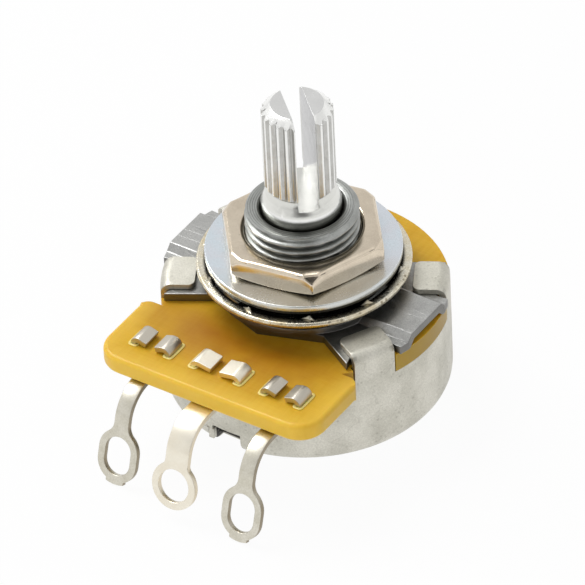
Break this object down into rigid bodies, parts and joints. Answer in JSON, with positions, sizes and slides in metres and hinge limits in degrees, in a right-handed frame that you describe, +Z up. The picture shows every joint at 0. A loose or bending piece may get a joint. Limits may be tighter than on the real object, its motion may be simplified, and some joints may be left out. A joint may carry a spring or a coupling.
{
  "type": "rotary potentiometer",
  "caption": "Panel-mount rotary potentiometer with a split knurled shaft, threaded bushing with nut and washers, laminate board and solder lugs.",
  "frame": {"origin": "on the shaft's axis at the mounting face, which is the top of the bushing's shoulder", "axes": "+Z up the shaft, -Y towards the solder lugs, X along the row of lugs"},
  "size_m": [0.024, 0.0329, 0.029],
  "materials": {
    "cover_steel": "satin, plated",
    "plate_steel": "dull, plated",
    "bushing_zinc": "turned and threaded die-cast zinc",
    "shaft_alloy": "bright, turned and rolled",
    "ring_steel": "spring steel",
    "laminate": "waxy amber laminate",
    "carbon_film": "printed carbon",
    "silver_film": "printed silver",
    "tinned_brass": "dull tin plate",
    "silvered_brass": "bright silver plate",
    "rotor_plastic": "moulded",
    "spring_bronze": "bare spring bronze",
    "lock_zinc": "zinc plated, slightly iridescent",
    "washer_zinc": "bright zinc, bluish",
    "nut_nickel": "nickel plated, warm"
  },
  "bodies": {
    "housing": {"rear_cover": "cover_steel", "mounting_plate": "plate_steel", "bushing": "bushing_zinc", "element_board": "laminate", "resistive_track": "carbon_film", "end_pad_left": "silver_film", "end_pad_right": "silver_film", "terminal_left": "tinned_brass", "terminal_centre": "silvered_brass", "terminal_right": "tinned_brass", "lock_washer": "lock_zinc", "flat_washer": "washer_zinc", "hex_nut": "nut_nickel"},
    "spindle": {"shaft": "shaft_alloy", "retaining_ring": "ring_steel", "rotor": "rotor_plastic", "wiper_spring": "spring_bronze"}
  },
  "joints": [
    {"name": "shaft_turn", "type": "hinge", "parent": "housing", "child": "spindle", "pos_m": [0, 0, 0], "axis": [0, 0, 1], "range_deg": [-150, 150]}
  ]
}
